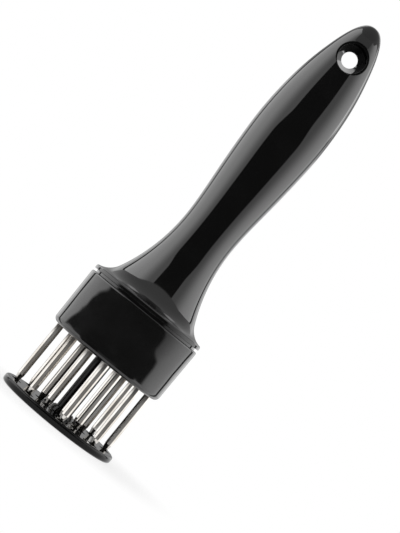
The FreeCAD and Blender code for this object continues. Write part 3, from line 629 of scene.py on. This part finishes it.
def build_spring(material):
    """Compression spring: a round wire round a helix, closed at both ends.

    The real spring shortens towards its upper end as the guard slides up; here it is built at its rest
    length.
    """
    low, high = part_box("return_spring")
    wire = SPRING_WIRE / 2
    coil = high.x - wire
    turn = np.linspace(0, 2 * math.pi * SPRING_TURNS, SPRING_TURNS * WIRE_ROWS_PER_TURN + 1)[:, None]
    climb = np.linspace(low.z + wire, high.z - wire, len(turn))[:, None]
    outward = np.concatenate([np.cos(turn), np.sin(turn), 0 * turn], -1)
    rise = (climb[-1] - climb[0]) / turn[-1]
    along = np.concatenate([-coil * np.sin(turn), coil * np.cos(turn), rise + 0 * turn], -1)
    along /= np.linalg.norm(along, axis=-1, keepdims=True)
    side = np.cross(along, outward)
    centre = coil * outward + climb * np.array([0, 0, 1])
    angle = np.linspace(0, 2 * math.pi, WIRE_COLUMNS, endpoint=False)[:, None]
    rings = centre[:, None] + wire * (np.cos(angle) * outward[:, None] + np.sin(angle) * side[:, None])
    ends = [np.repeat(centre[i][None, None], len(angle), axis=1) for i in (0, -1)]
    points = np.concatenate([ends[0], rings, ends[1]])
    spring = make_piece(
        "spring_coil", [sheet_of(points)], "handle", "return_spring", material
    )
    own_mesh(spring)


# Materials

class Wire:
    """A socket that can be added, multiplied and so on; each operation adds its Math node."""

    def __init__(self, shop, socket):
        self.shop, self.socket = shop, socket

    def _math(self, operation, *values, clamp=False):
        return self.shop.node("ShaderNodeMath", {"operation": operation, "use_clamp": clamp},
                              dict(enumerate(values))).out()

    def __add__(self, other):
        return self._math("ADD", self, other)

    def __sub__(self, other):
        return self._math("SUBTRACT", self, other)

    def __mul__(self, other):
        return self._math("MULTIPLY", self, other)

    def __truediv__(self, other):
        return self._math("DIVIDE", self, other)

    def __radd__(self, other):
        return self._math("ADD", other, self)

    def __rsub__(self, other):
        return self._math("SUBTRACT", other, self)

    def __rmul__(self, other):
        return self._math("MULTIPLY", other, self)

    def __pow__(self, other):
        return self._math("POWER", self, other)

    def clamp(self):
        return self._math("ADD", self, 0.0, clamp=True)

    def ramp(self, low, high):
        """0 below low, 1 above high and a smooth step between."""
        return self.shop.node(
            "ShaderNodeMapRange", {"interpolation_type": "SMOOTHSTEP"},
            {"Value": self, "From Min": low, "From Max": high},
        ).out("Result")


class Node:
    """A node of a tree, whose outputs come as wires."""

    def __init__(self, shop, node):
        self.shop, self.node = shop, node

    def out(self, name=0):
        return Wire(self.shop, self.node.outputs[name])


class Shop:
    """Adds nodes to one tree: type, settings, and values or wires for its sockets."""

    def __init__(self, tree):
        self.tree = tree
        tree.nodes.clear()

    def node(self, kind, settings=None, sockets=None):
        node = self.tree.nodes.new(kind)
        for name, value in (settings or {}).items():
            setattr(node, name, value)
        for name, value in (sockets or {}).items():
            if isinstance(value, Wire):
                self.tree.links.new(value.socket, node.inputs[name])
            else:
                node.inputs[name].default_value = value
        return Node(self, node)


def new_material(name):
    material = bpy.data.materials.new(name)
    material.use_nodes = True
    return material, Shop(material.node_tree)


def object_noise(shop, scale, detail=2.0, stretch=(1.0, 1.0, 1.0), roughness=0.5):
    """Noise on Object coordinates, in cells of 1 / scale metres, stretched along the axes."""
    place = shop.node("ShaderNodeTexCoord").out("Object")
    mapped = shop.node("ShaderNodeMapping", {}, {"Vector": place, "Scale": stretch}).out()
    sockets = {"Vector": mapped, "Scale": scale, "Detail": detail, "Roughness": roughness}
    return shop.node("ShaderNodeTexNoise", {}, sockets).out("Fac")


def mixed(shop, share, first, second):
    """Colour between two colours."""
    return shop.node(
        "ShaderNodeMix", {"data_type": "RGBA"}, {0: share, 6: (*first, 1), 7: (*second, 1)}
    ).out(2)


def bumped(shop, height, distance, strength=1.0, normal=None):
    """Normal of a surface raised by height times distance, over another normal if one is given."""
    sockets = {"Height": height, "Distance": distance, "Strength": strength}
    if normal is not None:
        sockets["Normal"] = normal
    return shop.node("ShaderNodeBump", {}, sockets).out()


def finish_material(shop, sockets):
    shader = shop.node("ShaderNodeBsdfPrincipled", {}, sockets)
    shop.node("ShaderNodeOutputMaterial", {}, {"Surface": shader.out()})


def black_plastic(name, wave, scuffs, dark, light, index=1.6):
    """Glossy black moulding: faint waves, a fine skin, and scuffs that dull the gloss a little.

    wave is the height of the waves in metres, dark and light are its two greys.
    """
    material, shop = new_material(name)
    smear = object_noise(shop, scale=90, detail=3).ramp(0.42, 0.75)
    marks = object_noise(shop, scale=420, detail=4, stretch=(1.0, 1.0, 9.0), roughness=0.7)
    scratches = marks.ramp(0.66, 0.72)
    waves = bumped(shop, object_noise(shop, scale=70, detail=1), distance=wave)
    grain = object_noise(shop, scale=2600, detail=2)
    skin = bumped(shop, grain, distance=0.0000006, strength=0.5, normal=waves)
    finish_material(shop, {
        "Base Color": mixed(shop, smear, (dark,) * 3, (light,) * 3),
        "Roughness": 0.035 + 0.035 * smear + scuffs * scratches,
        "IOR": index,
        "Normal": skin,
    })
    return material


def needle_steel():
    """Ground steel: fine grain along the needle and faint stains."""
    material, shop = new_material("needle_steel")
    grain = object_noise(shop, scale=1100, detail=3, stretch=(1.0, 1.0, 0.03), roughness=0.6)
    stain = object_noise(shop, scale=260, detail=3, stretch=(1.0, 1.0, 0.35)).ramp(0.35, 0.7)
    finish_material(shop, {
        "Base Color": mixed(shop, stain, (0.78, 0.76, 0.73), (0.60, 0.56, 0.51)),
        "Metallic": 1.0,
        "Roughness": 0.05 + 0.05 * grain,
        "Normal": bumped(shop, grain, distance=0.0000015, strength=0.6),
    })
    return material


def plain_steel(name, color, rough):
    """Bright steel of the hidden screws, washer and spring, with drawn grain."""
    material, shop = new_material(name)
    grain = object_noise(shop, scale=700, detail=3, stretch=(1.0, 1.0, 0.3))
    finish_material(shop, {
        "Base Color": mixed(shop, grain, color, tuple(0.8 * c for c in color)),
        "Metallic": 1.0,
        "Roughness": rough + 0.12 * grain,
        "Normal": bumped(shop, grain, distance=0.00001, strength=0.5),
    })
    return material


# Studio

CAMERA_DISTANCE = 0.68
CAMERA_AZIMUTH = math.radians(-4)
CAMERA_HEIGHT = 0.060
CAMERA_ROLL = math.radians(39.2)
AIM_HEIGHT = 0.0851
AIM_RIGHT = 0.0059
FRAME_HEIGHT = 0.2157
SENSOR = 36.0
FLOOR_RADIUS = 0.07
FLOOR_DROP = 0.1 * MM
FLOOR_WHITE = (0.035, 0.065)
FLOOR_NEAR = 0.75
STUDIO_COLUMNS = 96
CANOPY_COLUMNS = 144
WHITE = (1, 1, 1, 1)
WORLD_DIM = 0.3
TENT_RADIUS = 0.24
TENT_HEIGHT = 0.50
TENT_FOOT = -0.30
CANOPY_INSIDE = (0.0185, 0.0755)
CANOPY_FRONT = 0.299
CANOPY_FALL = 7.55e-6
CANOPY_LAST = 128
ROOF_GREY = 0.45
CANOPY_GREY = 0.6

# Side panels of the tent wall: the turn in degrees where each begins low down, how much further forward
# it begins higher up and beside the grip, its level and what it gains towards the back
LEFT_START, LEFT_WIDENING, LEFT_LEAN = 104, 61, 10
RIGHT_START, RIGHT_WIDENING, RIGHT_LEAN = 76, 32, 7
LEFT_LEVEL, LEFT_GAIN = 1.0, 1.65
RIGHT_LEVEL, RIGHT_GAIN = 0.8, 1.5
PANEL_LOSS = 0.3
PANEL_LOW_SHARE = 0.65
SOFT_EDGE, CRISP_EDGE = 5, 0.7

# Top edge of the panels: height in front, what it gains and loses further round, and how soft it is
EDGE_HEIGHT, EDGE_GAIN, EDGE_LOSS = 0.39, 0.11, 0.255
RIGHT_EDGE_LOSS = 0.07
EDGE_SOFTNESS = 0.004

# Other levels of the tent wall
DARK_LEVEL = 0.06
TOP_LEVEL = 0.8
BEAM_LEVEL = 1.8
BACK_LEVEL, BACK_LOSS = 1.25, 0.75
NEEDLE_DARK_LEVEL = 0.05
NEEDLE_FRONT_LEVEL = 0.20
NEEDLE_PANEL_LEVEL = 1.35

# Smooth steps of the tent wall, each from a first to a last value: heights in metres, turns in degrees
NEEDLE_ZONE = (0.016, 0.020)
LEFT_RISE = (0.015, 0.085)
RIGHT_RISE = (0.028, 0.054)
GRIP_RISE = (0.165, 0.225)
CRISP_RISE = (0.070, 0.085)
LEFT_GROWTH = (44, 80)
RIGHT_GROWTH = (48, 92)
PANEL_FADE = (98, 118)
PANEL_END = (126, 127.5)
BACK_START = (133, 135)
BACK_FADE = (150, 168)
UPPER_BACK_FADE = (0.21, 0.25)
EDGE_CLIMB = (42, 60)
EDGE_DROP = (95, 150)
RIGHT_EDGE_DROP = (45, 75)
TOP_RISE = (0.325, 0.335)
TOP_START = (134, 140)
BEAM_START = (119, 124)
BEAM_END = (134, 138)
BEAM_LOW = (0.195, 0.215)
BEAM_HIGH = (0.33, 0.36)
NEEDLE_FRONT_END = (16, 20)
NEEDLE_PANEL_START = (56, 62)
NEEDLE_PANEL_END = (120, 128)


def place_camera():
    """Camera low in front of the tool, rolled so that the tool leans to the right."""
    position = Vector((
        CAMERA_DISTANCE * math.sin(CAMERA_AZIMUTH),
        -CAMERA_DISTANCE * math.cos(CAMERA_AZIMUTH),
        CAMERA_HEIGHT,
    ))
    level_right = Vector((math.cos(CAMERA_AZIMUTH), math.sin(CAMERA_AZIMUTH), 0))
    aim = Vector((0, 0, AIM_HEIGHT)) + level_right * AIM_RIGHT
    back = (position - aim).normalized()
    right = Vector((0, 0, 1)).cross(back).normalized()
    up = back.cross(right)
    rolled_right = right * math.cos(CAMERA_ROLL) + up * math.sin(CAMERA_ROLL)
    rolled_up = up * math.cos(CAMERA_ROLL) - right * math.sin(CAMERA_ROLL)
    lens = bpy.data.cameras.new("camera")
    lens.sensor_fit = "AUTO"
    lens.sensor_width = SENSOR
    lens.lens = SENSOR * CAMERA_DISTANCE / FRAME_HEIGHT
    lens.clip_start, lens.clip_end = 0.01, 20
    camera = bpy.data.objects.new("camera", lens)
    camera.matrix_world = Matrix.Translation(position) @ Matrix(
        (rolled_right, rolled_up, back)
    ).transposed().to_4x4()
    bpy.context.scene.collection.objects.link(camera)
    bpy.context.scene.camera = camera


def stage_sheet(name, points, material):
    """One sheet of the studio, which isn't part of the tool."""
    places, faces = sheet_of(points)
    mesh = bpy.data.meshes.new(name)
    mesh.from_pydata(places.tolist(), [], faces.tolist())
    mesh.materials.append(material)
    sheet = bpy.data.objects.new(name, mesh)
    bpy.context.scene.collection.objects.link(sheet)
    return sheet


def background_seen(shop):
    """1 for rays that see the white background: from the camera, mirrored or let through."""
    path = shop.node("ShaderNodeLightPath")
    mirrored = path.out("Is Glossy Ray") + path.out("Is Transmission Ray")
    return (path.out("Is Camera Ray") + mirrored).clamp()


def panel_light(z, turn, right):
    """Two side panels, which begin further round low down and end in a dark seam before the back.

    They grow brighter away from the front. Low down their edge is soft and they are dimmer.
    """
    lean = z.ramp(*GRIP_RISE)
    left_start = LEFT_START - LEFT_WIDENING * z.ramp(*LEFT_RISE) - LEFT_LEAN * lean
    right_start = RIGHT_START - RIGHT_WIDENING * z.ramp(*RIGHT_RISE) - RIGHT_LEAN * lean
    start = left_start + (right_start - left_start) * right
    upper = z.ramp(*CRISP_RISE)
    edge = SOFT_EDGE - (SOFT_EDGE - CRISP_EDGE) * upper
    left_level = LEFT_LEVEL + LEFT_GAIN * turn.ramp(*LEFT_GROWTH)
    right_level = RIGHT_LEVEL + RIGHT_GAIN * turn.ramp(*RIGHT_GROWTH)
    level = left_level + (right_level - left_level) * right - PANEL_LOSS * turn.ramp(*PANEL_FADE)
    panel = ((turn - start) / edge).ramp(-1, 1) * (1 - turn.ramp(*PANEL_END))
    return panel * (PANEL_LOW_SHARE + (1 - PANEL_LOW_SHARE) * upper) * level


def beam_light(z, turn, right):
    """Bright strip on the right before the back, which shows in the hanging hole."""
    around = right * turn.ramp(*BEAM_START) * (1 - turn.ramp(*BEAM_END))
    return BEAM_LEVEL * around * z.ramp(*BEAM_LOW) * (1 - z.ramp(*BEAM_HIGH))


def needle_light(turn, back):
    """Light at the height of the needles: a dim strip in front, narrower panels and the back."""
    front = NEEDLE_FRONT_LEVEL * (1 - turn.ramp(*NEEDLE_FRONT_END))
    panel = NEEDLE_PANEL_LEVEL * turn.ramp(*NEEDLE_PANEL_START) * (1 - turn.ramp(*NEEDLE_PANEL_END))
    return NEEDLE_DARK_LEVEL + front + panel + back


def wall_light(shop, x, y, z):
    """Tent wall, by the angle round the tool from the front: dark front, two side panels, pale back.

    The top edge of the panels drops towards the back, and the wall above it is grey.
    """
    reach = (x * x + y * y) ** 0.5
    forward = (x * math.sin(CAMERA_AZIMUTH) - y * math.cos(CAMERA_AZIMUTH)) / reach
    right = (x * math.cos(CAMERA_AZIMUTH) + y * math.sin(CAMERA_AZIMUTH)).ramp(-0.001, 0.001)
    turn = shop.node("ShaderNodeMath", {"operation": "ARCCOSINE"}, {0: forward}).out() * (180 / math.pi)
    both_edges = EDGE_HEIGHT + EDGE_GAIN * turn.ramp(*EDGE_CLIMB) - EDGE_LOSS * turn.ramp(*EDGE_DROP)
    top_edge = both_edges - RIGHT_EDGE_LOSS * right * turn.ramp(*RIGHT_EDGE_DROP)
    above = ((z - top_edge) / EDGE_SOFTNESS).ramp(-1, 1)
    back = turn.ramp(*BACK_START) * (1 - BACK_LOSS * turn.ramp(*BACK_FADE))
    upper_back = back * (BACK_LEVEL - BACK_LOSS * z.ramp(*UPPER_BACK_FADE))
    under = panel_light(z, turn, right) + upper_back
    top = TOP_LEVEL * z.ramp(*TOP_RISE) * turn.ramp(*TOP_START)
    high = DARK_LEVEL + under * (1 - above) + ROOF_GREY * above + top + beam_light(z, turn, right)
    below = 1 - z.ramp(*NEEDLE_ZONE)
    return high * (1 - below) + needle_light(turn, back) * below


def wall_material():
    """Grey light whose level is worked out from x, y and z."""
    material, shop = new_material("tent_wall")
    place = shop.node("ShaderNodeTexCoord").out("Object")
    parts = shop.node("ShaderNodeSeparateXYZ", {}, {0: place})
    level = wall_light(shop, *(parts.out(axis) for axis in ("X", "Y", "Z")))
    glow = shop.node("ShaderNodeEmission", {}, {"Color": level, "Strength": 1.0})
    shop.node("ShaderNodeOutputMaterial", {}, {"Surface": glow.out()})
    return material


def roof_material():
    """Even grey light."""
    material, shop = new_material("tent_roof")
    glow = shop.node("ShaderNodeEmission", {}, {"Color": WHITE, "Strength": ROOF_GREY})
    shop.node("ShaderNodeOutputMaterial", {}, {"Surface": glow.out()})
    return material


def raise_canopy():
    """Grey cone from beside the neck out to the tent wall, which only shows from below.

    Its outer edge drops with the square of the angle from the front, and is level past the panels.
    """
    angle = np.linspace(-180, 180, CANOPY_COLUMNS, endpoint=False)
    drop = CANOPY_FALL * np.minimum(abs(angle), CANOPY_LAST) ** 2
    heading = np.radians(angle) + CAMERA_AZIMUTH
    rings = [
        (np.full(len(angle), CANOPY_INSIDE[0]), np.full(len(angle), CANOPY_INSIDE[1])),
        (np.full(len(angle), TENT_RADIUS - 0.001), CANOPY_FRONT - drop),
    ]
    points = np.stack([
        np.stack([radius * np.sin(heading), -radius * np.cos(heading), height], -1)
        for radius, height in rings
    ])
    material, shop = new_material("tent_canopy")
    above = shop.node("ShaderNodeNewGeometry").out("Backfacing")
    glow = shop.node("ShaderNodeEmission", {}, {"Color": WHITE, "Strength": CANOPY_GREY})
    clear = shop.node("ShaderNodeBsdfTransparent")
    both = shop.node("ShaderNodeMixShader", {}, {0: above, 1: glow.out(), 2: clear.out()})
    shop.node("ShaderNodeOutputMaterial", {}, {"Surface": both.out()})
    return stage_sheet("tent_canopy", points, material)


def light_studio():
    """White surroundings for the camera, and a small round light tent for light and reflections."""
    world = bpy.data.worlds.new("studio")
    bpy.context.scene.world = world
    world.use_nodes = True
    shop = Shop(world.node_tree)
    seen = background_seen(shop)
    dim = shop.node("ShaderNodeBackground", {}, {"Color": WHITE, "Strength": WORLD_DIM})
    white = shop.node("ShaderNodeBackground", {}, {"Color": WHITE, "Strength": 1.0})
    both = shop.node("ShaderNodeMixShader", {}, {0: seen, 1: dim.out(), 2: white.out()})
    shop.node("ShaderNodeOutputWorld", {}, {"Surface": both.out()})
    wall = turned(np.array([(TENT_RADIUS, TENT_FOOT), (TENT_RADIUS, TENT_HEIGHT)]), STUDIO_COLUMNS)
    roof = turned(np.array([(0.001, TENT_HEIGHT), (TENT_RADIUS, TENT_HEIGHT)]), STUDIO_COLUMNS)
    sheets = [
        stage_sheet("tent_wall", wall, wall_material()),
        stage_sheet("tent_roof", roof, roof_material()),
        raise_canopy(),
    ]
    for sheet in sheets:
        sheet.visible_camera = False
        sheet.visible_shadow = False


def lay_floor():
    """Small round floor: white at its edge, and diffuse enough near the tool to keep a soft shadow."""
    material, shop = new_material("pale_floor")
    place = shop.node("ShaderNodeTexCoord").out("Object")
    reach = shop.node("ShaderNodeVectorMath", {"operation": "LENGTH"}, {0: place}).out("Value")
    white = FLOOR_NEAR + (1 - FLOOR_NEAR) * reach.ramp(*FLOOR_WHITE)
    diffuse = shop.node("ShaderNodeBsdfDiffuse", {}, {"Color": (0.9, 0.9, 0.9, 1)})
    glow = shop.node("ShaderNodeEmission", {}, {"Color": WHITE, "Strength": 1.0})
    share = background_seen(shop) * white
    both = shop.node("ShaderNodeMixShader", {}, {0: share, 1: diffuse.out(), 2: glow.out()})
    shop.node("ShaderNodeOutputMaterial", {}, {"Surface": both.out()})
    outline = np.array([(FLOOR_RADIUS, -FLOOR_DROP), (0.0, -FLOOR_DROP)])
    stage_sheet("floor", turned(outline, STUDIO_COLUMNS), material)


grip_plastic = black_plastic("black_grip_plastic", wave=0.00004, scuffs=0.03, dark=0.0022, light=0.0040)
cup_plastic = black_plastic("black_cup_plastic", wave=0.00035, scuffs=0.12, dark=0.006, light=0.010)
guard_plastic = black_plastic(
    "black_guard_plastic", wave=0.0001, scuffs=0.15, dark=0.004, light=0.007, index=1.28
)
build_handle(grip_plastic)
build_cup(cup_plastic)
build_guard_disc(guard_plastic)
build_post(guard_plastic)
build_needles(needle_steel())
inner_steel = plain_steel("bright_steel", (0.62, 0.61, 0.59), rough=0.2)
build_spring(plain_steel("spring_wire_steel", (0.5, 0.5, 0.5), rough=0.25))
NODE_FINISHES = {
    "needle_retainer": cup_plastic,
    "retainer_screws": inner_steel,
    "disc_screw": inner_steel,
    "stop_washer": inner_steel,
    "stop_screw": inner_steel,
}
for node_name, finish in NODE_FINISHES.items():
    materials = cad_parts[node_name].data.materials
    materials.clear()
    materials.append(finish)

place_camera()
light_studio()
lay_floor()
bpy.context.scene.view_settings.view_transform = "Standard"
